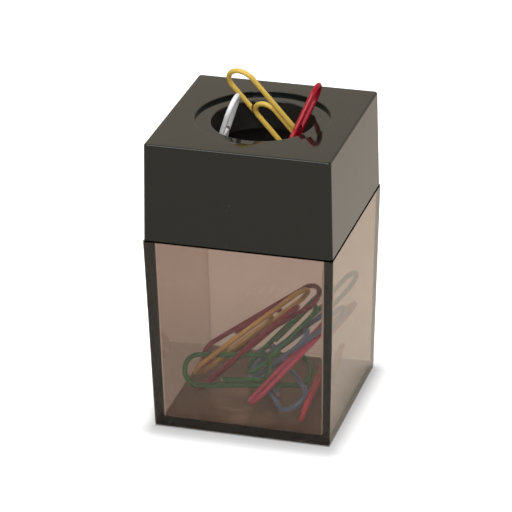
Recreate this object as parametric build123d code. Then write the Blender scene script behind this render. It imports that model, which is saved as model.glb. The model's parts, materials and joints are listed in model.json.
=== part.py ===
from build123d import *
import math
import os
from itertools import combinations

import numpy as np

# Magnetic paper clip holder: a tinted clear box, a black cap with a ring magnet round its hole, and paper clips.
# Millimetres, +Z up. The origin is the middle of the box's underside, and the front wall faces -Y.

# Box
box_width_bottom = 42.5
box_width_top = 45.0  # at the shoulder that carries the cap
shoulder_height = 48.0
box_wall_bottom = 2.0
box_wall_top = 2.4
box_floor = 2.25
box_corner_radius = 0.6
box_inner_corner_radius = 0.5
box_foot_radius = 0.5
floor_recess_margin = 0.95  # from the foot of the walls to the round recess in the floor
floor_recess_depth = 0.25
neck_height = 5.0
neck_wall = 0.9
neck_lead_in = 0.3

# Cap
cap_height = 24.0
cap_inset = 0.2  # the box stands this proud of the cap's rim
cap_taper = 0.45  # on each side, from rim to top
cap_wall = 1.5
cap_top_thickness = 2.2
cap_fit = 0.15  # between the neck and the cap's skirt
cap_head_room = 0.4  # above the neck
cap_corner_radius = 0.8
cap_inner_corner_radius = 0.5
cap_edge_radius = 0.5
joint_line_height = 0.35
joint_line_depth = 0.55
dish_radius = 15.7
dish_depth = 0.8
dish_edge_radius = 0.2
hole_radius = 11.85
hole_lip_radius = 0.4
collar_wall = 1.15
collar_tip = 0.3  # below the retainer

# Magnet, its retainer and the staked posts that hold it
magnet_radius = 17.0
magnet_thickness = 4.0
magnet_chamfer = 0.3
magnet_fit = 0.2
retainer_thickness = 1.2
retainer_fit = 0.2
retainer_margin = 1.5  # around each post
post_radius = 1.5
post_gap = 0.5  # between the magnet and each post
pin_radius = 0.9
pin_fit = 0.1
stake_head_radius = 1.4
stake_head_height = 0.5

# Clips: one bent wire each
clip_length = 34.0
clip_width = 8.4
wire_diameter = 1.2
leg_gap = 0.1  # between legs that lie side by side
outer_end_gap = 0.15  # from the outer cut end to the inner loop's bend
outer_end_slant = 60.0  # degrees from a square cut, so that the cut follows the bend
inner_loop_top = 23.5  # from the narrow end to the top of the inner loop
inner_leg_end = 10.0  # from the narrow end to the inner cut end
clip_clearance = 0.12
wire_sample_step = 0.5
settle_step = 0.01  # a nudge shorter than this is left out
settle_rounds = 100

# A clip's pose is the place of its middle, then three angles in degrees: heading of its long axis round +Z,
# rise of that axis towards its wide end, and roll about it.
# Clips held at the hole: x, y and height over the dish's floor.
rim_clip_poses = {
    "rim_clip_yellow": (1.0, 8.0, -3.5, 201, 53, 49),
    "rim_clip_red": (6.9, -2.7, -5.4, 63, 50, -60),
    "rim_clip_white": (-10.9, -0.4, -9.2, -25, 69, 204),
}
# Clips in the box: distance from the foot of the right wall, from the foot of the front wall, and over the floor.
loose_clip_poses = {
    "loose_clip_green_front": (21.0, 11.25, 8.75, 39, -12, 243),
    "loose_clip_yellow": (20.5, 12.75, 18.25, 31, 33, -44),
    "loose_clip_maroon_back": (20.5, 21.0, 16.25, 15, 33, 16),
    "loose_clip_maroon_low": (21.25, 12.25, 14.0, 5, 45, -15),
    "loose_clip_green_back": (11.5, 20.75, 17.75, 32, 42, -10),
    "loose_clip_blue_top": (12.25, 18.75, 13.25, -20, 43, 24),
    "loose_clip_pink": (9.75, 15.0, 12.75, 52, 32, 147),
    "loose_clip_blue_floor": (16.0, 19.25, 3.5, 121, -3, -33),
    "loose_clip_red_floor": (5.75, 17.0, 4.75, 94, -2, 108),
}

# Sizes worked out from those above
box_inner_bottom = box_width_bottom - 2 * box_wall_bottom
box_inner_top = box_width_top - 2 * box_wall_top
neck_width = box_inner_top + 2 * neck_wall
neck_top = shoulder_height + neck_height
floor_recess_radius = box_inner_bottom / 2 - floor_recess_margin

cap_width_bottom = box_width_top - 2 * cap_inset
cap_width_top = cap_width_bottom - 2 * cap_taper
cap_top = shoulder_height + cap_height
cap_ceiling = cap_top - cap_top_thickness
dish_floor = cap_top - dish_depth
skirt_width = neck_width + 2 * cap_fit
skirt_top = neck_top + cap_head_room

collar_radius = hole_radius + collar_wall
magnet_bottom = cap_ceiling - magnet_thickness
retainer_bottom = magnet_bottom - retainer_thickness
collar_bottom = retainer_bottom - collar_tip
post_offset = (magnet_radius + post_gap + post_radius) / math.sqrt(2)
retainer_width = 2 * (post_offset + post_radius + retainer_margin)

wire_radius = wire_diameter / 2
outer_leg_x = (clip_width - wire_diameter) / 2
inner_leg_x = outer_leg_x - wire_diameter - leg_gap
inner_bend_radius = (outer_leg_x + inner_leg_x) / 2
inner_bend_x = (inner_leg_x - outer_leg_x) / 2
narrow_end_y = -clip_length / 2
wide_bend_y = clip_length / 2 - wire_radius - outer_leg_x
narrow_bend_y = narrow_end_y + wire_radius + outer_leg_x
inner_bend_y = narrow_end_y + inner_loop_top - wire_radius - inner_bend_radius


def square_prism(low_width, high_width, low_z, high_z, corner):
    """A square block with rounded upright edges that tapers evenly from one height to another."""
    low = Plane.XY.offset(low_z) * RectangleRounded(low_width, low_width, corner)
    high = Plane.XY.offset(high_z) * RectangleRounded(high_width, high_width, corner)
    return loft([low, high])


def disc(radius, low_z, high_z, x=0.0, y=0.0):
    """An upright round bar between two heights."""
    return Pos(x, y, low_z) * extrude(Circle(radius), amount=high_z - low_z)


def cap_outer_width(z):
    """The cap's outside width at a height."""
    return cap_width_bottom - 2 * cap_taper * (z - shoulder_height) / cap_height


def box_inner_half(z):
    """Half the width between the box's walls at a height, or at an array of heights."""
    rise = (z - box_floor) / (shoulder_height - box_floor)
    return (box_inner_bottom + (box_inner_top - box_inner_bottom) * rise) / 2


def make_base_box():
    """The box: tapered walls, a floor with a shallow round recess, and the neck that the cap slides over."""
    outside = square_prism(box_width_bottom, box_width_top, 0, shoulder_height, box_corner_radius)
    outside = fillet(outside.edges().group_by(Axis.Z)[0], box_foot_radius)
    neck = square_prism(neck_width, neck_width, shoulder_height, neck_top, box_inner_corner_radius + neck_wall)
    top_rim = neck.edges().group_by(Axis.Z)[-1]
    neck = chamfer(top_rim, neck_lead_in)
    hollow = square_prism(box_inner_bottom, box_inner_top, box_floor, shoulder_height, box_inner_corner_radius)
    throat = square_prism(box_inner_top, box_inner_top, shoulder_height, neck_top, box_inner_corner_radius)
    recess = disc(floor_recess_radius, box_floor - floor_recess_depth, box_floor)
    return outside + neck - hollow - throat - recess


def post_places():
    """The four posts' middles, near the cap's corners."""
    return [(sx * post_offset, sy * post_offset) for sx in (-1, 1) for sy in (-1, 1)]


def circle_edge(shape, radius, z):
    """The circular edge that comes nearest to a radius and a height."""
    circles = shape.edges().filter_by(GeomType.CIRCLE)
    return min(circles, key=lambda edge: abs(edge.radius - radius) + abs(edge.center().Z - z))


def make_cap():
    """The cap: a tapered shell with the dish, the hole and its collar, and posts staked over the retainer."""
    shell = square_prism(cap_width_bottom, cap_width_top, shoulder_height, cap_top, cap_corner_radius)
    shell = fillet(shell.edges().group_by(Axis.Z)[-1], cap_edge_radius)
    skirt = square_prism(skirt_width, skirt_width, shoulder_height, skirt_top, cap_inner_corner_radius)
    low_inside = cap_outer_width(skirt_top) - 2 * cap_wall
    high_inside = cap_outer_width(cap_ceiling) - 2 * cap_wall
    inside = square_prism(low_inside, high_inside, skirt_top, cap_ceiling, cap_inner_corner_radius)
    shell = shell - skirt - inside

    rim_land = cap_width_bottom - 2 * joint_line_depth
    joint_top = shoulder_height + joint_line_height
    rim_band = square_prism(box_width_top, box_width_top, shoulder_height, joint_top, cap_corner_radius)
    rim_core = square_prism(rim_land, rim_land, shoulder_height, joint_top, cap_inner_corner_radius)
    shell = shell - (rim_band - rim_core)

    shell = shell - disc(dish_radius, dish_floor, cap_top)
    shell = shell + disc(collar_radius, collar_bottom, dish_floor)
    shell = shell - disc(hole_radius, collar_bottom, cap_top)
    shell = fillet(circle_edge(shell, dish_radius, cap_top), dish_edge_radius)
    shell = fillet(circle_edge(shell, hole_radius, dish_floor), hole_lip_radius)

    for x, y in post_places():
        post = disc(post_radius, magnet_bottom, cap_ceiling, x, y)
        pin = disc(pin_radius, retainer_bottom, magnet_bottom, x, y)
        head = disc(stake_head_radius, retainer_bottom - stake_head_height, retainer_bottom, x, y)
        shell = shell + (post + pin + head)
    return shell


def make_ring_magnet():
    """The ring magnet round the collar, up against the cap's ceiling."""
    bore = collar_radius + magnet_fit
    ring = disc(magnet_radius, magnet_bottom, cap_ceiling) - disc(bore, magnet_bottom, cap_ceiling)
    return chamfer(ring.edges().filter_by(GeomType.CIRCLE), magnet_chamfer)


def make_magnet_retainer():
    """The plate under the magnet, with holes for the collar and the four pins."""
    corner = post_radius + retainer_margin
    plate = square_prism(retainer_width, retainer_width, retainer_bottom, magnet_bottom, corner)
    plate = plate - disc(collar_radius + retainer_fit, retainer_bottom, magnet_bottom)
    for x, y in post_places():
        plate = plate - disc(pin_radius + pin_fit, retainer_bottom, magnet_bottom, x, y)
    return plate


def outer_cut():
    """The plane of the outer cut end: it touches a circle just outside the inner loop's bend."""
    slant = math.radians(outer_end_slant)
    outward = Vector(-math.sin(slant), math.cos(slant), 0)
    reach = inner_bend_radius + wire_radius + outer_end_gap
    return Plane(origin=Vector(inner_bend_x, inner_bend_y, 0) + outward * reach, z_dir=outward)


def clip_edges():
    """The wire's centreline from the outer cut end to the inner one, flat in XY, with its middle at the origin.

    The outer leg ends at the inner loop's bend, in line with the leg that the bend turns out of.
    """
    cut = outer_cut().origin
    leg_outside = -outer_leg_x - wire_radius
    tip_y = cut.Y + (leg_outside - cut.X) * math.tan(math.radians(outer_end_slant))
    return [
        Line((-outer_leg_x, tip_y), (-outer_leg_x, wide_bend_y)),
        CenterArc((0, wide_bend_y), outer_leg_x, 180, -180),
        Line((outer_leg_x, wide_bend_y), (outer_leg_x, narrow_bend_y)),
        CenterArc((0, narrow_bend_y), outer_leg_x, 0, -180),
        Line((-outer_leg_x, narrow_bend_y), (-outer_leg_x, inner_bend_y)),
        CenterArc((inner_bend_x, inner_bend_y), inner_bend_radius, 180, -180),
        Line((inner_leg_x, inner_bend_y), (inner_leg_x, narrow_end_y + inner_leg_end)),
    ]


def wire_along(path):
    """A round wire along a path."""
    section = Plane(origin=path @ 0, z_dir=path % 0) * Circle(wire_radius)
    return sweep(section, path=path)


def make_clip(edges):
    """One clip: a bent round wire whose outer leg is cut aslant."""
    outer_leg = split(wire_along(Wire(edges[:1])), bisect_by=outer_cut(), keep=Keep.TOP)
    return outer_leg + wire_along(Wire(edges[1:]))


def clip_plane(middle, heading, rise, roll):
    """The plane that a clip lies in: its Y runs along the clip towards the wide end."""
    heading, rise, roll = (math.radians(angle) for angle in (heading, rise, roll))
    along = Vector(math.cos(heading) * math.cos(rise), math.sin(heading) * math.cos(rise), math.sin(rise))
    level = Vector(-math.sin(heading), math.cos(heading), 0)
    across = level * math.cos(roll) + along.cross(level) * math.sin(roll)
    return Plane(origin=middle, x_dir=across, z_dir=across.cross(along))


def wire_points(path, plane):
    """Points along a placed wire's centreline, as an array."""
    count = math.ceil(path.length / wire_sample_step)
    return np.array([tuple(plane.from_local_coords(path @ (k / count))) for k in range(count + 1)])


def push_off_box(points):
    """How far a clip has to move to clear the box's walls and floor."""
    push = np.zeros(3)
    reach = box_inner_half(points[:, 2]) - wire_radius - clip_clearance
    for axis in (0, 1):
        over = np.abs(points[:, axis]) - reach
        worst = over.argmax()
        push[axis] -= np.sign(points[worst, axis]) * max(0.0, over[worst])
    push[2] = max(0.0, box_floor + wire_radius + clip_clearance - points[:, 2].min())
    return push


def push_off_hole(points):
    """How far a clip has to move towards the axis to clear the hole and its collar."""
    radial = np.hypot(points[:, 0], points[:, 1])
    beyond = np.maximum(points[:, 2] - dish_floor, collar_bottom - points[:, 2])
    gap = np.hypot(np.maximum(0, hole_radius - radial), np.maximum(0, beyond))
    worst = gap.argmin()
    short = max(0.0, wire_radius + clip_clearance - gap[worst])
    inward = -points[worst] * (1, 1, 0) / radial[worst]
    return inward * short


def settle(path, planes, push_off):
    """Nudge clips until each wire clears the others and what holds them, and give back their planes."""
    points = {name: wire_points(path, plane) for name, plane in planes.items()}
    moved = {name: np.zeros(3) for name in planes}
    for _ in range(settle_rounds):
        push = {name: push_off(points[name] + moved[name]) for name in planes}
        for one, other in combinations(planes, 2):
            apart = (points[one] + moved[one])[:, None] - (points[other] + moved[other])[None]
            distance = np.linalg.norm(apart, axis=2)
            nearest = np.unravel_index(distance.argmin(), distance.shape)
            short = max(0.0, wire_diameter + clip_clearance - distance[nearest])
            push[one] += apart[nearest] / distance[nearest] * short / 2
            push[other] -= apart[nearest] / distance[nearest] * short / 2
        if max(np.abs(step).max() for step in push.values()) < settle_step:
            break
        for name in planes:
            moved[name] += push[name]
    return {
        name: Plane(origin=plane.origin + Vector(*moved[name]), x_dir=plane.x_dir, z_dir=plane.z_dir)
        for name, plane in planes.items()
    }


def rim_clip_planes():
    """The planes of the clips at the hole, as they are posed."""
    return {
        name: clip_plane((x, y, dish_floor + over), heading, rise, roll)
        for name, (x, y, over, heading, rise, roll) in rim_clip_poses.items()
    }


def loose_clip_planes():
    """The planes of the clips in the box, as they are posed."""
    wall = box_inner_bottom / 2
    return {
        name: clip_plane((wall - right, front - wall, box_floor + over), heading, rise, roll)
        for name, (right, front, over, heading, rise, roll) in loose_clip_poses.items()
    }


def build_parts():
    """Every piece, by its name."""
    parts = {
        "base_box": make_base_box(),
        "cap": make_cap(),
        "ring_magnet": make_ring_magnet(),
        "magnet_retainer": make_magnet_retainer(),
    }
    edges = clip_edges()
    path = Wire(edges)
    clip = make_clip(edges)
    planes = settle(path, rim_clip_planes(), push_off_hole)
    planes.update(settle(path, loose_clip_planes(), push_off_box))
    for name, plane in planes.items():
        parts[name] = plane * clip
    return parts


os.makedirs("parts", exist_ok=True)
for part_name, part in build_parts().items():
    export_step(part, f"parts/{part_name}.step")
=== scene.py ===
# %% [markdown]
# # A magnetic paper clip holder
# The real thing is a small smoke-tinted box with a black cap. A ring magnet inside the cap holds a few
# clips upright in its round mouth, and more clips lie loose in the box. The measured solids come in as
# a fixed frame, so every new piece is modelled where its solid already is, and it moves with the same
# body.

# %% Load the frame
import json
import math

import bmesh
import bpy
from mathutils import Matrix, Vector


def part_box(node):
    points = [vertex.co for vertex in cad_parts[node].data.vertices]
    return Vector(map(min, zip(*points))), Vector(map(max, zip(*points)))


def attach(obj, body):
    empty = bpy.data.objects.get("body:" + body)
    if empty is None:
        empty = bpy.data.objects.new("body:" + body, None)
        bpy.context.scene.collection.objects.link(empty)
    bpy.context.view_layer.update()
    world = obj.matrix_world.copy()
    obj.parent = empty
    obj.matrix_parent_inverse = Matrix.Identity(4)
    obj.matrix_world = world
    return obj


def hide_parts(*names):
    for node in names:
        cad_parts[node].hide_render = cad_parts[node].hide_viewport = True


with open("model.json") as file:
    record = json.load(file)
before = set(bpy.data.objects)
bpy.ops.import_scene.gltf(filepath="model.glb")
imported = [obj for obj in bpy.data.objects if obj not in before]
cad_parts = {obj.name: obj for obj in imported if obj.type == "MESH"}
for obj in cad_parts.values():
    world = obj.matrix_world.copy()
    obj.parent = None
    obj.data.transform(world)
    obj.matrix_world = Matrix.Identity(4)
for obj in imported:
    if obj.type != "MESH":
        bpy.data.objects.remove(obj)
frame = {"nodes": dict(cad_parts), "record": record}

MM = 0.001
scene = bpy.context.scene
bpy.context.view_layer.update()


def in_mm(place):
    """A place in millimetres, rounded for printing."""
    return [round(x / MM, 2) for x in place]


# %% [markdown]
# ## The camera
# The photograph was taken from the front, a little to the right and above, with a long lens: the
# upright edges are almost parallel. A camera could be placed by eye, but three angles and a distance,
# read from the box's edges, put it back where it stood. It looks at a point near the holder's axis.

# %% Camera
view_azimuth = math.radians(16.32)
view_elevation = math.radians(25.28)
view_roll = math.radians(-0.80)
view_distance = 725 * MM
view_target = Vector((-2.0, -0.2, 36.6)) * MM
lens_length = 217.3
film_width = 36.0
nearest_seen = 0.05
furthest_seen = 20.0


def make_camera():
    """A camera on a sphere round its target, rolled a little about its line of sight."""
    level = math.cos(view_elevation)
    outward = Vector(
        (math.sin(view_azimuth) * level, -math.cos(view_azimuth) * level, math.sin(view_elevation))
    )
    data = bpy.data.cameras.new("photo_camera")
    data.sensor_width = film_width
    data.lens = lens_length
    data.clip_start = nearest_seen
    data.clip_end = furthest_seen
    camera = bpy.data.objects.new("photo_camera", data)
    aim = outward.to_track_quat("Z", "Y").to_matrix().to_4x4()
    roll = Matrix.Rotation(view_roll, 4, "Z")
    camera.matrix_world = Matrix.Translation(view_target + outward * view_distance) @ aim @ roll
    scene.collection.objects.link(camera)
    scene.camera = camera
    return camera


camera = make_camera()
print("camera at", in_mm(camera.matrix_world.translation), "mm")

# %% [markdown]
# ## Small helpers for shader nodes
# A node tree is easier to read when making a node, setting it and wiring it take one line. Sums, ramps,
# noises and choices of colour come up again and again, so each of them gets a short name.

# %% Node helpers


def add_node(tree, kind, inputs=None, **settings):
    """A new node with its settings, and its inputs set to plain values or wired to other sockets."""
    made = tree.nodes.new(kind)
    for name, value in settings.items():
        setattr(made, name, value)
    for name, value in (inputs or {}).items():
        if isinstance(value, bpy.types.NodeSocket):
            tree.links.new(value, made.inputs[name])
        else:
            made.inputs[name].default_value = value
    return made


def math_node(tree, operation, *values):
    """What a Math node makes of plain values or other sockets."""
    return add_node(tree, "ShaderNodeMath", dict(enumerate(values)), operation=operation).outputs[0]


def ramp(tree, value, span=(0.0, 1.0), ends=(0.0, 1.0)):
    """A value that goes evenly from one end to another over a span, and stays there outside it."""
    names = ("Value", "From Min", "From Max", "To Min", "To Max")
    inputs = dict(zip(names, (value, *span, *ends)))
    return add_node(tree, "ShaderNodeMapRange", inputs).outputs[0]


def noise(tree, place, scale, detail, roughness=0.5):
    """A cloudy value between 0 and 1."""
    inputs = {"Vector": place, "Scale": scale, "Detail": detail, "Roughness": roughness}
    return add_node(tree, "ShaderNodeTexNoise", inputs).outputs["Fac"]


def pick_colour(tree, mask, plain, picked):
    """One colour where a mask is 0 and another where it is 1."""
    inputs = {"Factor": mask, "A": plain, "B": picked}
    return add_node(tree, "ShaderNodeMix", inputs, data_type="RGBA").outputs["Result"]


# %% [markdown]
# Every pattern is laid on Object coordinates, which are the model's own frame here, so it stays on its
# piece when the piece moves. Two masks need the distance from the holder's upright axis, measured along
# the square's sides.

# %% Place helpers


def object_place(tree):
    """A point's place in the model's own frame."""
    return add_node(tree, "ShaderNodeTexCoord").outputs["Object"]


def split_place(tree):
    """The X, Y and Z of a point's place."""
    return add_node(tree, "ShaderNodeSeparateXYZ", {0: object_place(tree)}).outputs


def reach_from_middle(tree):
    """How far a point lies from the holder's axis, along X or Y, whichever is more."""
    split = split_place(tree)
    reaches = [math_node(tree, "ABSOLUTE", split[axis]) for axis in ("X", "Y")]
    return math_node(tree, "MAXIMUM", *reaches)


# %% [markdown]
# A finish that more than one material shares is a node group with named sockets. A material starts as
# an empty tree with one Principled shader.

# %% Group and material helpers


def new_group(name, inputs, outputs):
    """An empty node group with named sockets, its input node and its output node."""
    group = bpy.data.node_groups.new(name, "ShaderNodeTree")
    for socket, kind, value in inputs:
        made = group.interface.new_socket(socket, in_out="INPUT", socket_type=kind)
        made.default_value = value
    for socket, kind in outputs:
        group.interface.new_socket(socket, in_out="OUTPUT", socket_type=kind)
    return group, add_node(group, "NodeGroupInput"), add_node(group, "NodeGroupOutput")


def output_names(group):
    """The names of what a group puts out."""
    return [socket.name for socket in group.interface.items_tree if socket.in_out == "OUTPUT"]


def use_group(tree, group, **inputs):
    """Place a group in a material, with its own values."""
    made = add_node(tree, "ShaderNodeGroup", node_tree=group)
    for name, value in inputs.items():
        made.inputs[name.replace("_", " ")].default_value = value
    return made


def empty_tree(owner):
    """The node tree of a material or a world, with nothing in it."""
    owner.use_nodes = True
    owner.node_tree.nodes.clear()
    return owner.node_tree


def new_material(name):
    """A material with its tree, its Principled shader and its output."""
    material = bpy.data.materials.new(name)
    tree = empty_tree(material)
    shader = add_node(tree, "ShaderNodeBsdfPrincipled")
    output = add_node(tree, "ShaderNodeOutputMaterial", {"Surface": shader.outputs["BSDF"]})
    return material, tree, shader, output


def add_bump(tree, shader, height, strength, distance):
    """A fine relief on a shader's surface."""
    inputs = {"Height": height, "Strength": strength, "Distance": distance}
    tree.links.new(add_node(tree, "ShaderNodeBump", inputs).outputs[0], shader.inputs["Normal"])


# %% [markdown]
# ## Handling wear
# Both plastics have lain on a desk: fine hairlines run across them, fingers leave cloudy patches, and
# dust settles. An image of scratches could be painted, but a contour line of a stretched noise is
# already a long thin hairline, so two such noises at different angles give scratches on every face.
# Both plastics use this group, so it is built once.

# %% Wear group
line_families = [
    {"turn": (0.3, 0.5, 0.7), "stretch": (1.0, 9.0, 9.0), "scale": 70.0},
    {"turn": (0.9, -0.4, -0.6), "stretch": (11.0, 1.0, 1.0), "scale": 60.0},
]
line_detail = 2.0
line_roughness = 0.6
line_level = 0.5
patch_scale = 120.0
patch_detail = 3.0
patch_span = (0.45, 0.65)
cloud_scale = 75.0
cloud_detail = 5.0
cloud_roughness = 0.6
cloud_span = (0.35, 0.7)
speck_scale = 420.0


def hairlines(tree, place, width, turn, stretch, scale):
    """A mask of long thin lines: the places where a stretched noise is close to its middle value."""
    inputs = {"Vector": place, "Rotation": turn, "Scale": stretch}
    placed = add_node(tree, "ShaderNodeMapping", inputs).outputs[0]
    waves = noise(tree, placed, scale, line_detail, line_roughness)
    return math_node(tree, "COMPARE", waves, line_level, width)


def make_wear_group():
    """Hairline, cloud and dust masks on the piece's own coordinates."""
    group, entry, result = new_group(
        "handling_wear",
        [("Line Width", "NodeSocketFloat", 0.004), ("Dust Size", "NodeSocketFloat", 0.05)],
        [("Hairlines", "NodeSocketFloat"), ("Clouds", "NodeSocketFloat"), ("Dust", "NodeSocketFloat")],
    )
    place = object_place(group)
    width = entry.outputs["Line Width"]
    families = [hairlines(group, place, width, **family) for family in line_families]
    lines = math_node(group, "MAXIMUM", *families)
    worn = ramp(group, noise(group, place, patch_scale, patch_detail), patch_span)
    clouds = noise(group, place, cloud_scale, cloud_detail, cloud_roughness)
    specks = add_node(group, "ShaderNodeTexVoronoi", {"Vector": place, "Scale": speck_scale})
    masks = {
        "Hairlines": math_node(group, "MULTIPLY", lines, worn),
        "Clouds": ramp(group, clouds, cloud_span),
        "Dust": math_node(group, "LESS_THAN", specks.outputs["Distance"], entry.outputs["Dust Size"]),
    }
    for name, mask in masks.items():
        group.links.new(mask, result.inputs[name])
    return group


wear_group = make_wear_group()
print("wear group puts out", output_names(wear_group))

# %% [markdown]
# ## Black plastic
# Black moulded plastic is almost no colour at all: what the eye reads as its grey is the room mirrored
# in it. A grey paint would look the same from every side, so the base stays nearly black here and the
# gloss does the work.

# %% Black gloss plastic
black_colour = (0.005, 0.0062, 0.0052, 1.0)
dust_colour = (0.08, 0.075, 0.07, 1.0)
black_polish = (0.045, 0.10)
black_line_roughness = 0.12
black_ior = 1.38
peel_scale = 900.0
peel_detail = 2.0
peel_strength = 0.02
peel_depth = 0.05 * MM


def make_black_gloss():
    """Glossy black moulding with a faint orange-peel skin, hairlines and dust."""
    material, tree, shader, _ = new_material("black_gloss_plastic")
    wear = use_group(tree, wear_group, Line_Width=0.003, Dust_Size=0.035)
    colour = pick_colour(tree, wear.outputs["Dust"], black_colour, dust_colour)
    tree.links.new(colour, shader.inputs["Base Color"])
    polish = ramp(tree, wear.outputs["Clouds"], ends=black_polish)
    rough = math_node(tree, "MULTIPLY_ADD", wear.outputs["Hairlines"], black_line_roughness, polish)
    tree.links.new(rough, shader.inputs["Roughness"])
    peel = noise(tree, object_place(tree), peel_scale, peel_detail)
    add_bump(tree, shader, peel, peel_strength, peel_depth)
    shader.inputs["IOR"].default_value = black_ior
    return material


black_gloss = make_black_gloss()
print("made", black_gloss.name)

# %% [markdown]
# ## Smoke plastic
# The box is clear, and its colour sits in its depth. A tinted surface would look the same at any
# thickness, but an absorbing volume goes pale through a thin wall and nearly black where a wall is seen
# edge on, as on the real box. Light that bends through the walls gathers too slowly in a still render,
# so shadow rays and rays from dull surfaces go straight through the skin, and only the depth dims them.
# Clips have scuffed the floor inside.

# %% Smoke clear plastic
smoke_absorption = (0.477, 0.291, 0.166, 1.0)
smoke_density = 420.0
smoke_polish = (0.0, 0.07)
smoke_line_roughness = 0.15
smoke_ior = 1.52
scuffed_reach = 20.0 * MM
scuffed_height = 1.9 * MM
scuffed_band = 0.6 * MM
scuffed_roughness = 0.3
white = (1.0, 1.0, 1.0, 1.0)


def scuffed_floor(tree):
    """1 on the inside of the box's floor, where the clips rub, and 0 elsewhere."""
    within = math_node(tree, "LESS_THAN", reach_from_middle(tree), scuffed_reach)
    level = math_node(tree, "COMPARE", split_place(tree)["Z"], scuffed_height, scuffed_band)
    return math_node(tree, "MULTIPLY", within, level)


def make_smoke_clear():
    """Clear moulding that darkens with depth, with hairlines and cloudy patches on its skin."""
    material, tree, shader, output = new_material("smoke_clear_plastic_look")
    wear = use_group(tree, wear_group, Line_Width=0.004, Dust_Size=0.03)
    polish = ramp(tree, wear.outputs["Clouds"], ends=smoke_polish)
    rough = math_node(tree, "MULTIPLY_ADD", wear.outputs["Hairlines"], smoke_line_roughness, polish)
    scuffed = math_node(tree, "MULTIPLY_ADD", scuffed_floor(tree), scuffed_roughness, rough)
    tree.links.new(scuffed, shader.inputs["Roughness"])
    shader.inputs["Base Color"].default_value = white
    shader.inputs["Transmission Weight"].default_value = 1.0
    shader.inputs["IOR"].default_value = smoke_ior
    tint = {"Color": smoke_absorption, "Density": smoke_density}
    depth = add_node(tree, "ShaderNodeVolumeAbsorption", tint)
    tree.links.new(depth.outputs[0], output.inputs["Volume"])
    path = add_node(tree, "ShaderNodeLightPath").outputs
    dull = math_node(tree, "MAXIMUM", path["Is Shadow Ray"], path["Is Diffuse Ray"])
    straight = add_node(tree, "ShaderNodeBsdfTransparent")
    layers = {0: dull, 1: shader.outputs["BSDF"], 2: straight.outputs[0]}
    tree.links.new(add_node(tree, "ShaderNodeMixShader", layers).outputs[0], output.inputs["Surface"])
    return material


smoke_clear = make_smoke_clear()
print("made", smoke_clear.name)

# %% [markdown]
# ## Vinyl, steel, ceramic and fibre
# The clips are steel wire in a skin of coloured vinyl. The skin has a soft sheen, its colour drifts a
# little along the wire, and the shears leave bright bare steel at both ends. The magnet is a ground
# ceramic ring and the plate under it a sheet of black fibre. Inside the cap the mould was left as it
# was eroded, so the plastic is matte there. All of these drift in colour and have a fine grain, so one
# group serves them.

# %% Mottle group
mottle_detail = 4.0
mottle_level = 0.5


def make_mottle_group():
    """A colour that drifts between a darker and a lighter shade of itself, and a fine uneven height."""
    group, entry, result = new_group(
        "mottle",
        [
            ("Colour", "NodeSocketColor", (0.5, 0.5, 0.5, 1.0)),
            ("Drift", "NodeSocketFloat", 0.2),
            ("Grain", "NodeSocketFloat", 300.0),
        ],
        [("Colour", "NodeSocketColor"), ("Height", "NodeSocketFloat")],
    )
    height = noise(group, object_place(group), entry.outputs["Grain"], mottle_detail)
    half = math_node(group, "SUBTRACT", height, mottle_level)
    shade = math_node(group, "MULTIPLY_ADD", half, entry.outputs["Drift"], 1.0)
    tone = add_node(group, "ShaderNodeHueSaturation", {"Color": entry.outputs["Colour"], "Value": shade})
    group.links.new(tone.outputs[0], result.inputs["Colour"])
    group.links.new(height, result.inputs["Height"])
    return group


mottle_group = make_mottle_group()
print("mottle group puts out", output_names(mottle_group))

# %% Mottled finishes
relief_strength = 0.3


def make_mottled(name, colour, drift, grain, roughness, relief, metallic=0.0, shine=0.5):
    """A finish with drifting colour, matching roughness and a fine relief."""
    material, tree, shader, _ = new_material(name)
    mottle = use_group(tree, mottle_group, Colour=colour, Drift=drift, Grain=grain).outputs
    tree.links.new(mottle["Colour"], shader.inputs["Base Color"])
    tree.links.new(ramp(tree, mottle["Height"], ends=roughness), shader.inputs["Roughness"])
    add_bump(tree, shader, mottle["Height"], relief_strength, relief)
    shader.inputs["Metallic"].default_value = metallic
    shader.inputs["Specular IOR Level"].default_value = shine
    return material


vinyl_colours = {
    "yellow": (0.60, 0.41, 0.080, 1.0),
    # The loose yellow clip's vinyl is the yellow made darker and duller: painted shade for its place
    # inside the box.
    "yellow_shaded": (0.52, 0.34, 0.105, 1.0),
    "crimson": (0.27, 0.002, 0.013, 1.0),
    "red": (0.62, 0.06, 0.14, 1.0),
    "white": (0.66, 0.66, 0.67, 1.0),
    "green": (0.030, 0.20, 0.09, 1.0),
    # Red vinyl darkened as painted shade, for the red clips that lie in shade deep in the box.
    "red_shaded": (0.24, 0.009, 0.055, 1.0),
    "blue": (0.15, 0.27, 0.52, 1.0),
    "pink": (0.60, 0.075, 0.21, 1.0),
}
vinyl_finish = {
    "drift": 0.25,
    "grain": 260.0,
    "roughness": (0.24, 0.42),
    "relief": 0.03 * MM,
    "shine": 0.25,
}
vinyl = {
    name: make_mottled(f"{name}_vinyl", colour, **vinyl_finish) for name, colour in vinyl_colours.items()
}
cut_steel = make_mottled(
    "cut_steel",
    (0.66, 0.63, 0.58, 1.0),
    drift=0.5,
    grain=4000.0,
    roughness=(0.2, 0.45),
    relief=0.02 * MM,
    metallic=1.0,
)
ceramic = make_mottled(
    "magnet_ceramic",
    (0.045, 0.045, 0.048, 1.0),
    drift=0.9,
    grain=1500.0,
    roughness=(0.45, 0.75),
    relief=0.05 * MM,
)
matte_black = make_mottled(
    "black_eroded_plastic",
    (0.006, 0.006, 0.005, 1.0),
    drift=0.6,
    grain=1800.0,
    roughness=(0.6, 0.8),
    relief=0.04 * MM,
    shine=0.25,
)
fibre = make_mottled(
    "black_fibre_sheet",
    (0.02, 0.02, 0.02, 1.0),
    drift=0.8,
    grain=2200.0,
    roughness=(0.6, 0.9),
    relief=0.06 * MM,
)
print("finishes:", sorted(m.name for m in bpy.data.materials if m.users == 0))

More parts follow.
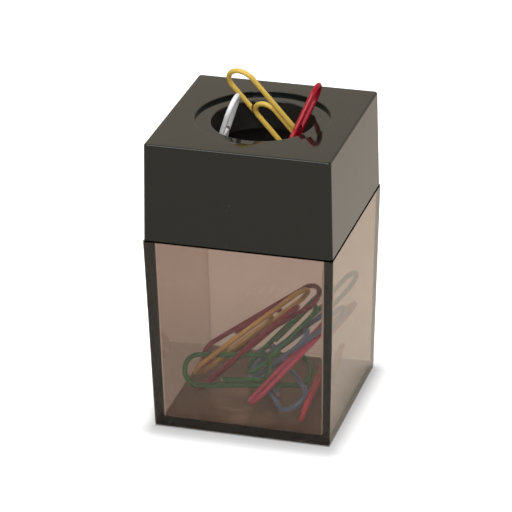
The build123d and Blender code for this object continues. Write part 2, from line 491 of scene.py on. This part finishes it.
# %% [markdown]
# ## From bmesh to a finished piece
# Modelling in millimetres keeps the operators away from rounding trouble. At the end the mesh is scaled
# to metres, its faces are turned outward, and edges flatter than a crease are shaded smooth. The
# weighted normals keep the big flat walls flat in their reflections although narrow rounded edges join
# them.

# %% Finishing helper
crease_angle = math.radians(32)
merge_distance = 0.0005


def finish_piece(bm, name, materials, body, slot, *nodes):
    """Make an object of the bmesh, in metres, and say which body and solids it belongs to. The slot is
    not used.
    """
    bmesh.ops.remove_doubles(bm, verts=bm.verts, dist=merge_distance)
    bmesh.ops.recalc_face_normals(bm, faces=bm.faces)
    for face in bm.faces:
        face.smooth = True
    for edge in bm.edges:
        edge.smooth = edge.calc_face_angle(math.pi) < crease_angle
    open_edges = sum(not edge.is_manifold for edge in bm.edges)
    bmesh.ops.scale(bm, vec=(MM, MM, MM), verts=bm.verts)
    mesh = bpy.data.meshes.new(name)
    bm.to_mesh(mesh)
    bm.free()
    for material in materials:
        mesh.materials.append(material)
    piece = bpy.data.objects.new(name, mesh)
    scene.collection.objects.link(piece)
    piece.modifiers.new("flat_walls", "WEIGHTED_NORMAL").keep_sharp = True
    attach(piece, body)
    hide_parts(*nodes)
    print(name, "faces:", len(mesh.polygons), "open edges:", open_edges)
    return piece


# %% [markdown]
# ## Drawing a square tub
# The box and the cap are both square mouldings that are widest at the joint between them. Each could be
# cut out of a block with booleans, but a moulding is simpler than that: one square face drawn through a
# list of steps, each with a half width and a height. Where two steps share a height the face makes a
# ledge, and otherwise a wall.

# %% Tub helpers


def set_square(face, half_width, height):
    """Put a square face's four corners at a half width and a height."""
    for vert in face.verts:
        vert.co.x = math.copysign(half_width, vert.co.x)
        vert.co.y = math.copysign(half_width, vert.co.y)
        vert.co.z = height


def draw_tub(bm, steps):
    """A block between the first two steps, whose end face is then extruded through the rest."""
    bmesh.ops.create_cube(bm, size=2.0)
    first = min(bm.faces, key=lambda face: face.calc_center_median().z)
    end = max(bm.faces, key=lambda face: face.calc_center_median().z)
    set_square(first, *steps[0])
    set_square(end, *steps[1])
    for step in steps[2:]:
        end = bmesh.ops.extrude_discrete_faces(bm, faces=[end])["faces"][0]
        set_square(end, *step)


# %% [markdown]
# A moulding has no sharp edges. An editor's user would click the edges to round, and here they are
# found by where they lie: upright or level, and between two reaches from the middle. A little slack at
# a reach takes in the edges that lie on it.

# %% Edge helpers
slack = 0.1
level_tolerance = 0.001
least_rise = 0.1


def is_level(part, height):
    """Whether an edge or a face lies at a height."""
    return all(abs(vert.co.z - height) < level_tolerance for vert in part.verts)


def level_face(bm, height):
    """The level face at a height."""
    return next(face for face in bm.faces if is_level(face, height))


def upright_edges(bm, low_reach, high_reach):
    """The upright corner edges whose distance from the middle planes lies between two reaches."""
    found = []
    for edge in bm.edges:
        rise = abs(edge.verts[0].co.z - edge.verts[1].co.z)
        reach = [abs(c) for vert in edge.verts for c in vert.co.xy]
        if rise > least_rise and low_reach < min(reach) and max(reach) < high_reach:
            found.append(edge)
    return found


def level_edges(bm, height, low_reach, high_reach):
    """The edges at one height whose furthest coordinate lies between two reaches."""
    found = []
    for edge in bm.edges:
        reach = [max(abs(vert.co.x), abs(vert.co.y)) for vert in edge.verts]
        if is_level(edge, height) and low_reach < min(reach) and max(reach) < high_reach:
            found.append(edge)
    return found


def round_edges(bm, edges, radius, segments):
    """Round those of a set of edges that are still there with a circular bevel."""
    bmesh.ops.bevel(
        bm,
        geom=[edge for edge in edges if edge.is_valid],
        offset=radius,
        offset_type="OFFSET",
        segments=segments,
        profile=0.5,
        affect="EDGES",
        material=-1,
        clamp_overlap=False,
    )


# %% [markdown]
# The round forms are drawn the same way as the square ones: a level ring is pulled from step to step,
# each with a radius and a height. The wire of a clip is a ring that is pulled along too, so they share
# these helpers.

# %% Ring helpers


def only(kind, parts):
    """The vertices, edges or faces among what an operator gives back."""
    return [part for part in parts if isinstance(part, kind)]


def add_circle(bm, place, radius, segments):
    """The edges of a circle that a matrix puts in place."""
    made = bmesh.ops.create_circle(bm, cap_ends=False, segments=segments, radius=radius, matrix=place)
    return list(dict.fromkeys(edge for vert in made["verts"] for edge in vert.link_edges))


def extrude_loop(bm, loop):
    """Extrude a loop of edges where it is, and give the new vertices and the new loop."""
    made = bmesh.ops.extrude_edge_only(bm, edges=loop)["geom"]
    verts = only(bmesh.types.BMVert, made)
    inside = set(verts)
    return verts, [edge for edge in only(bmesh.types.BMEdge, made) if inside.issuperset(edge.verts)]


def draw_rings(bm, steps, segments, x=0.0, y=0.0):
    """A round wall through steps of radius and height about an upright axis, and its rings."""
    radius, height = steps[0]
    rings = [add_circle(bm, Matrix.Translation((x, y, height)), radius, segments)]
    to_axis = Matrix.Translation((-x, -y, 0.0))
    for next_radius, next_height in steps[1:]:
        verts, loop = extrude_loop(bm, rings[-1])
        scale = next_radius / radius
        bmesh.ops.scale(bm, vec=(scale, scale, 1.0), space=to_axis, verts=verts)
        bmesh.ops.translate(bm, vec=(0.0, 0.0, next_height - height), verts=verts)
        rings.append(loop)
        radius, height = next_radius, next_height
    return rings


# %% [markdown]
# ## The box
# The clear box tapers towards its foot, so that it leaves its mould. At the top a ledge carries the
# cap, and a thin neck goes up inside it. A shallow round recess with a softened lip in the floor is the
# mark of the mould's ejector plate. The sizes are the solid's own.

# %% Box walls
box_half_foot = 21.25
box_half_top = 22.5
shoulder = 48.0
neck_half = 21.0
neck_top = 53.0
throat_half = 20.1
floor_half = 19.25
floor_height = 2.25
box_corner_round = 0.6
neck_corner_round = 1.4
inner_corner_round = 0.5
foot_round = 0.5
neck_lip_round = 0.3

box_bm = bmesh.new()
draw_tub(
    box_bm,
    [
        (box_half_foot, 0.0),
        (box_half_top, shoulder),
        (neck_half, shoulder),
        (neck_half, neck_top),
        (throat_half, neck_top),
        (throat_half, shoulder),
        (floor_half, floor_height),
    ],
)
outer_corners = upright_edges(box_bm, neck_half + slack, box_half_top + slack)
round_edges(box_bm, outer_corners, box_corner_round, segments=5)
neck_corners = upright_edges(box_bm, throat_half + slack, neck_half + slack)
round_edges(box_bm, neck_corners, neck_corner_round, segments=6)
inner_corners = upright_edges(box_bm, floor_half - slack, throat_half + slack)
round_edges(box_bm, inner_corners, inner_corner_round, segments=5)
foot_edges = level_edges(box_bm, 0.0, floor_half, box_half_top)
round_edges(box_bm, foot_edges, foot_round, segments=4)
neck_lip = level_edges(box_bm, neck_top, throat_half + slack, neck_half + slack)
round_edges(box_bm, neck_lip, neck_lip_round, segments=2)
print("box walls have", len(box_bm.faces), "faces")

# %% Box floor
recess_radius = 18.3
recess_depth = 0.25
recess_lip_round = 0.22
round_segments = 128
floor_margin = 1.0

bmesh.ops.delete(box_bm, geom=[level_face(box_bm, floor_height)], context="FACES_ONLY")
floor_rim = level_edges(box_bm, floor_height, floor_half - floor_margin, floor_half + slack)
recess_steps = [(recess_radius, floor_height), (recess_radius, floor_height - recess_depth)]
recess_rim, recess_foot = draw_rings(box_bm, recess_steps, round_segments)
bmesh.ops.triangle_fill(box_bm, use_beauty=True, edges=floor_rim + recess_rim)
bmesh.ops.contextual_create(box_bm, geom=recess_foot)
round_edges(box_bm, recess_rim, recess_lip_round, segments=3)
finish_piece(box_bm, "clear_box", [smoke_clear], "box", "smoke_clear_plastic", "base_box")

# %% [markdown]
# ## The cap
# The cap is the same kind of tub, upside down, and its sides lean in a little towards the top. Round
# the joint a step leaves the dark line that the photograph shows. The top has a wide shallow dish, and
# in it the mouth: a hole with a rounded lip and a short tube below it that the magnet fits round. The
# flat top and the ceiling are filled between the rings and the square edges.

# %% Cap shell
cap_top = 72.0
cap_half_top = 21.85
cap_half_rim = 22.3
joint_height = 0.35
rim_half = 21.75
skirt_half = 21.15
skirt_top = 53.4
cap_inner_low = 20.70
cap_inner_high = 20.39
cap_ceiling = 69.8
cap_corner_round = 0.8
skirt_corner_round = 0.5
cap_edge_round = 0.5
rim_slack = 0.05
top_margin = 1.0

cap_bm = bmesh.new()
draw_tub(
    cap_bm,
    [
        (cap_half_top, cap_top),
        (cap_half_rim, shoulder + joint_height),
        (rim_half, shoulder + joint_height),
        (rim_half, shoulder),
        (skirt_half, shoulder),
        (skirt_half, skirt_top),
        (cap_inner_low, skirt_top),
        (cap_inner_high, cap_ceiling),
    ],
)
cap_corners = upright_edges(cap_bm, rim_half + rim_slack, cap_half_rim + slack)
round_edges(cap_bm, cap_corners, cap_corner_round, segments=6)
skirt_corners = upright_edges(cap_bm, cap_inner_high - slack, rim_half + rim_slack)
round_edges(cap_bm, skirt_corners, skirt_corner_round, segments=4)
cap_edges = level_edges(cap_bm, cap_top, cap_half_top - top_margin, cap_half_rim)
round_edges(cap_bm, cap_edges, cap_edge_round, segments=5)
flat_faces = [level_face(cap_bm, cap_top), level_face(cap_bm, cap_ceiling)]
bmesh.ops.delete(cap_bm, geom=flat_faces, context="FACES_ONLY")
print("cap shell has", len(cap_bm.faces), "faces")

# %% Dish, mouth and collar
dish_radius = 15.7
dish_depth = 0.8
mouth_radius = 11.85
collar_radius = 13.0
collar_foot = 64.3
dish_margin = 2.0

dish_floor = cap_top - dish_depth
top_rim = level_edges(cap_bm, cap_top, dish_radius + dish_margin, cap_half_rim)
mouth_steps = [
    (dish_radius, cap_top),
    (dish_radius, dish_floor),
    (mouth_radius, dish_floor),
    (mouth_radius, collar_foot),
    (collar_radius, collar_foot),
    (collar_radius, cap_ceiling),
]
mouth_rings = draw_rings(cap_bm, mouth_steps, round_segments)
dish_rim = mouth_rings[0]
mouth_rim = mouth_rings[2]
collar_root = mouth_rings[-1]
bmesh.ops.triangle_fill(cap_bm, use_beauty=True, edges=top_rim + dish_rim)
print("dish and mouth drawn with", len(mouth_rings), "rings")

# %% [markdown]
# Four posts stand in the cap's corners. Each goes through a hole in the fibre plate as a thinner pin,
# and its tip was melted into a flat head that keeps the plate and the magnet up. One ring, pulled down
# through its steps, draws all of it.

# %% Posts
post_reach = 19.0
post_offset = post_reach / math.sqrt(2)
post_radius = 1.5
pin_radius = 0.9
head_radius = 1.4
magnet_foot = 65.8
plate_foot = 64.6
head_foot = 64.1
post_segments = 32
ceiling_margin = 1.0

post_steps = [
    (post_radius, cap_ceiling),
    (post_radius, magnet_foot),
    (pin_radius, magnet_foot),
    (pin_radius, plate_foot),
    (head_radius, plate_foot),
    (head_radius, head_foot),
]
ceiling_rim = level_edges(cap_bm, cap_ceiling, cap_inner_high - ceiling_margin, cap_inner_high + slack)
ceiling_edges = ceiling_rim + collar_root
for side_x in (-1, 1):
    for side_y in (-1, 1):
        corner = (side_x * post_offset, side_y * post_offset)
        post_rings = draw_rings(cap_bm, post_steps, post_segments, *corner)
        bmesh.ops.contextual_create(cap_bm, geom=post_rings[-1])
        ceiling_edges += post_rings[0]
bmesh.ops.triangle_fill(cap_bm, use_beauty=True, edges=ceiling_edges)
print("ceiling filled between", len(ceiling_edges), "edges")

# %% Cap lips and its matte inside
dish_lip_round = 0.2
mouth_lip_round = 0.4
matte_margin = 0.5
matte_top = dish_floor - matte_margin
matte_reach = skirt_half + slack

round_edges(cap_bm, dish_rim, dish_lip_round, segments=3)
round_edges(cap_bm, mouth_rim, mouth_lip_round, segments=5)
for face in cap_bm.faces:
    middle = face.calc_center_median()
    face.material_index = int(middle.z < matte_top and max(abs(middle.x), abs(middle.y)) < matte_reach)
finish_piece(cap_bm, "black_cap", [black_gloss, matte_black], "cap", "black_plastic", "cap")

# %% [markdown]
# ## The magnet and its plate
# Both sit inside the cap and show only when it is lifted. Their solids already have the right shape, so
# they keep it and get a finish.

# %% Magnet and plate
for node, finish in (("ring_magnet", ceramic), ("magnet_retainer", fibre)):
    mesh = frame["nodes"][node].data
    mesh.materials.clear()
    mesh.materials.append(finish)
    print(node, "now has", finish.name)

# %% [markdown]
# ## One clip
# A clip is a single wire with three half turns. The outer leg is cut aslant where it meets the inner
# loop, in line with the leg that the loop turns out of. A bevelled curve would draw it too, but a ring
# of edges run straight and spun round each bend is how the wire is bent on the real machine, and it
# leaves open ends to finish. There the skin is rounded off and the bare steel core shows.

# %% Bending wire
wire_radius = 0.6
wire_segments = 24
bend_steps = 28
skin = 0.11
skin_round = 0.6 * skin
steel_index = 1


def run_straight(bm, loop, length):
    """Run the wire's end straight along the clip."""
    verts, end = extrude_loop(bm, loop)
    bmesh.ops.translate(bm, vec=(0.0, length, 0.0), verts=verts)
    return end


def bend_round(bm, loop, x, y):
    """Bend the wire half way round a point, the way a clock's hands turn."""
    verts = list(dict.fromkeys(vert for edge in loop for vert in edge.verts))
    made = bmesh.ops.spin(
        bm,
        geom=verts + loop,
        cent=(x, y, 0.0),
        axis=(0.0, 0.0, -1.0),
        angle=math.pi,
        steps=bend_steps,
        use_duplicate=False,
    )
    return only(bmesh.types.BMEdge, made["geom_last"])


def cut_aslant(bm, place, outward):
    """Cut the wire with a plane, drop what lies behind it, and give the cut's loop of edges."""
    everything = [*bm.verts, *bm.edges, *bm.faces]
    made = bmesh.ops.bisect_plane(
        bm, geom=everything, plane_co=place, plane_no=outward, clear_inner=True
    )
    return only(bmesh.types.BMEdge, made["geom_cut"])


def finish_end(bm, loop):
    """Close a cut end: round the skin's edge and lay the steel core bare."""
    face = bmesh.ops.contextual_create(bm, geom=loop)["faces"][0]
    bmesh.ops.inset_individual(bm, faces=[face], thickness=skin, depth=0.0)
    face.material_index = steel_index
    round_edges(bm, loop, skin_round, segments=2)


# %% The clip's drawing
clip_length = 34.0
clip_width = 8.4
leg_gap = 0.1
outer_end_gap = 0.15
outer_end_slant = math.radians(60)
inner_top = 23.5
inner_end = 10.0


def draw_clip():
    """A clip that lies flat with its middle at the origin and its wide end towards +Y."""
    side = clip_width / 2 - wire_radius
    inner = side - 2 * wire_radius - leg_gap
    inner_turn = (side + inner) / 2
    low = -clip_length / 2
    head_y = clip_length / 2 - wire_radius - side
    foot_y = low + wire_radius + side
    inner_x = inner_turn - side
    inner_y = low + inner_top - wire_radius - inner_turn
    bm = bmesh.new()
    start = Matrix.Translation((-side, inner_y, 0.0)) @ Matrix.Rotation(math.pi / 2, 4, "X")
    first = add_circle(bm, start, wire_radius, wire_segments)
    last = run_straight(bm, first, head_y - inner_y)
    outward = Vector((-math.sin(outer_end_slant), math.cos(outer_end_slant), 0.0))
    cut = Vector((inner_x, inner_y, 0.0)) + outward * (inner_turn + wire_radius + outer_end_gap)
    first = cut_aslant(bm, cut, outward)
    last = bend_round(bm, last, 0.0, head_y)
    last = run_straight(bm, last, foot_y - head_y)
    last = bend_round(bm, last, 0.0, foot_y)
    last = run_straight(bm, last, inner_y - foot_y)
    last = bend_round(bm, last, inner_x, inner_y)
    last = run_straight(bm, last, low + inner_end - inner_y)
    finish_end(bm, first)
    finish_end(bm, last)
    return bm


# %% [markdown]
# ## Twelve clips
# Each clip's place is the middle of its solid, and three angles: the heading of its long axis, how far
# its wide end rises, and its roll. Three stand in the mouth, and the rest lie as they fell. The wire is
# drawn anew for each one and put in place in its mesh.

# %% Clip places
clip_places = {
    "rim_clip_yellow": ("yellow", (1.0, 8.0, 67.7), (201, 53, 49)),
    "rim_clip_red": ("crimson", (6.9, -2.7, 65.8), (63, 50, -60)),
    "rim_clip_white": ("white", (-10.9, -0.4, 62.0), (-25, 69, 204)),
    "loose_clip_green_front": ("green", (-1.75, -8.0, 11.0), (39, -12, 243)),
    # This clip's colour is yellow vinyl darkened as painted shade.
    "loose_clip_yellow": ("yellow_shaded", (-1.25, -6.5, 20.5), (31, 33, -44)),
    # These two clips are red vinyl, and their darker colour is painted shade.
    "loose_clip_maroon_back": ("red_shaded", (-1.25, 1.75, 18.5), (15, 33, 16)),
    "loose_clip_maroon_low": ("red_shaded", (-2.0, -7.0, 16.25), (5, 45, -15)),
    "loose_clip_green_back": ("green", (7.75, 1.5, 20.0), (32, 42, -10)),
    "loose_clip_blue_top": ("blue", (7.0, -0.5, 15.5), (-20, 43, 24)),
    "loose_clip_pink": ("pink", (9.5, -4.25, 15.0), (52, 32, 147)),
    "loose_clip_blue_floor": ("blue", (3.25, 0.0, 5.75), (121, -3, -33)),
    "loose_clip_red_floor": ("red", (13.5, -2.25, 7.0), (94, -2, 108)),
}


def clip_matrix(middle, heading, rise, roll):
    """Where a flat clip goes: its Y turns to the heading and rise, then it rolls about that axis."""
    heading, rise, roll = (math.radians(angle) for angle in (heading, rise, roll))
    forward = Vector((math.cos(heading), math.sin(heading), 0.0))
    along = forward * math.cos(rise) + Vector((0.0, 0.0, math.sin(rise)))
    level = Vector((-math.sin(heading), math.cos(heading), 0.0))
    across = level * math.cos(roll) + along.cross(level) * math.sin(roll)
    turned = Matrix((across, along, across.cross(along))).transposed()
    return Matrix.Translation(middle) @ turned.to_4x4()


# %% Clips
record = frame["record"]
body_of_node = {node: body for body, nodes in record["behaviour"]["bodies"].items() for node in nodes}
slot_of_node = {part["node"]: part["material_slot"] for part in record["subparts"]}
lowest_corner = 0
highest_corner = 6

for node, (colour, middle, angles) in clip_places.items():
    clip_bm = draw_clip()
    bmesh.ops.transform(clip_bm, matrix=clip_matrix(middle, *angles), verts=clip_bm.verts)
    name = node.replace("_clip_", "_wire_")
    finishes = [vinyl[colour], cut_steel]
    clip = finish_piece(clip_bm, name, finishes, body_of_node[node], slot_of_node[node], node)
    node_low, node_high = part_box(node)
    low_off = (Vector(clip.bound_box[lowest_corner]) - node_low).length
    high_off = (Vector(clip.bound_box[highest_corner]) - node_high).length
    print(node, "is off its solid by", round(max(low_off, high_off) / MM, 3), "mm")

# %% [markdown]
# ## Floor and room
# The holder stands on a white sheet in a warm room. The floor's own colour carries the soft shadow, and
# a lift that only the camera's rays see brings it towards white away from the foot, with no more light
# on the holder. The lift is a painted glow that fades close to the foot, so the shadow's edge there is
# partly painted shade. Seen through the clear walls the sheet is plain white, with a painted shadow
# that dims it a little close by. Under the foot its colour is darker, a painted shade, because no light
# shines up through the real one. The gloss mirrors the floor and the room warmer and dimmer than they
# look.

# %% Floor
floor_drop = 0.05 * MM
floor_size = 6.0
floor_white = (0.8, 0.8, 0.8, 1.0)
floor_mirrored = (0.755, 0.68, 0.565, 1.0)
# Painted shade: the floor's colour under the box's foot is darker.
painted_shade_under_foot = (0.30, 0.29, 0.30, 1.0)
# The camera's lift is a painted glow that is weaker close to the foot, so the shadow's edge is partly
# painted.
lift_span = (22.0 * MM, 33.0 * MM)
lift_ends = (0.05, 0.6)
# Seen through glass, the sheet is dimmer close to the box: a painted shadow.
sheet_span = (22.0 * MM, 60.0 * MM)
sheet_ends = (0.7, 1.0)


def make_floor_finish():
    """White that keeps a shadow and painted shade by the foot, a camera lift, a white sheet through
    glass.
    """
    material = bpy.data.materials.new("white_floor")
    tree = empty_tree(material)
    path = add_node(tree, "ShaderNodeLightPath").outputs
    reach = reach_from_middle(tree)
    beyond = math_node(tree, "GREATER_THAN", reach, box_half_foot * MM)
    # Darker colour under the foot: painted shade.
    plain = pick_colour(tree, beyond, painted_shade_under_foot, floor_white)
    colour = pick_colour(tree, path["Is Glossy Ray"], plain, floor_mirrored)
    dull = add_node(tree, "ShaderNodeBsdfDiffuse", {"Color": colour})
    # The lift fades near the foot: painted shade at the shadow's edge.
    lift = math_node(tree, "MULTIPLY", path["Is Camera Ray"], ramp(tree, reach, lift_span, lift_ends))
    glow = add_node(tree, "ShaderNodeEmission", {"Strength": lift})
    lit = add_node(tree, "ShaderNodeAddShader", {0: dull.outputs[0], 1: glow.outputs[0]})
    through = math_node(tree, "MULTIPLY", path["Is Transmission Ray"], beyond)
    # The sheet dims near the box: painted shadow.
    bright = ramp(tree, reach, sheet_span, sheet_ends)
    sheet = add_node(tree, "ShaderNodeEmission", {"Color": white, "Strength": bright})
    seen = add_node(tree, "ShaderNodeMixShader", {0: through, 1: lit.outputs[0], 2: sheet.outputs[0]})
    add_node(tree, "ShaderNodeOutputMaterial", {"Surface": seen.outputs[0]})
    return material


def make_floor():
    """A wide level floor just below the holder's foot."""
    bm = bmesh.new()
    bmesh.ops.create_grid(bm, x_segments=1, y_segments=1, size=floor_size / 2)
    bmesh.ops.translate(bm, vec=(0.0, 0.0, -floor_drop), verts=bm.verts)
    mesh = bpy.data.meshes.new("white_floor")
    bm.to_mesh(mesh)
    bm.free()
    mesh.materials.append(make_floor_finish())
    floor = bpy.data.objects.new("white_floor", mesh)
    scene.collection.objects.link(floor)
    return floor


floor = make_floor()
print("floor is", floor_size, "m wide, with", floor.data.materials[0].name)

# %% Room
sky_grey = (0.3, 0.3, 0.3, 1.0)
room_mirrored = (0.80, 0.71, 0.58, 1.0)


def make_world():
    """White where it is seen, a warm room in the gloss, and a plain grey sky on dull surfaces."""
    world = bpy.data.worlds.new("white_room")
    tree = empty_tree(world)
    path = add_node(tree, "ShaderNodeLightPath").outputs
    room = pick_colour(tree, path["Is Glossy Ray"], sky_grey, room_mirrored)
    seen_directly = math_node(tree, "MAXIMUM", path["Is Camera Ray"], path["Is Transmission Ray"])
    colour = pick_colour(tree, seen_directly, room, white)
    sky = add_node(tree, "ShaderNodeBackground", {"Color": colour})
    add_node(tree, "ShaderNodeOutputWorld", {"Surface": sky.outputs[0]})
    scene.world = world


make_world()
print("world:", scene.world.name)

# %% [markdown]
# ## Lamps
# Three soft lamps light the holder. The one overhead draws the shadow and isn't mirrored, because a
# small bright square in the gloss would give it away. The one at the left lights only the gloss, so
# that the cap's edges shine. The one beside the camera fills the front.

# %% Lamps


def add_softbox(name, place, size, power):
    """A square lamp that faces the middle of the holder."""
    data = bpy.data.lights.new(name, "AREA")
    data.shape = "SQUARE"
    data.size = size
    data.energy = power
    lamp = bpy.data.objects.new(name, data)
    lamp.location = place
    lamp.rotation_mode = "QUATERNION"
    lamp.rotation_quaternion = (Vector(place) - view_target).to_track_quat("Z", "Y")
    scene.collection.objects.link(lamp)
    return lamp


overhead_lamp = add_softbox("overhead_softbox", place=(-0.012, 0.066, 1.2), size=0.1, power=7.0)
overhead_lamp.visible_glossy = False
edge_lamp = add_softbox("edge_softbox", place=(-0.25, -0.42, 0.88), size=0.5, power=4.2)
edge_lamp.visible_diffuse = False
add_softbox("camera_side_softbox", place=(0.21, -0.74, 0.64), size=0.5, power=7.8)

# %% [markdown]
# ## Last settings
# Light goes in and out of four clear walls and runs along inside them, so paths may be longer than
# usual.

# %% Finish
scene.cycles.max_bounces = 32
scene.cycles.glossy_bounces = 16
scene.cycles.transmission_bounces = 32
scene.view_settings.view_transform = "Standard"
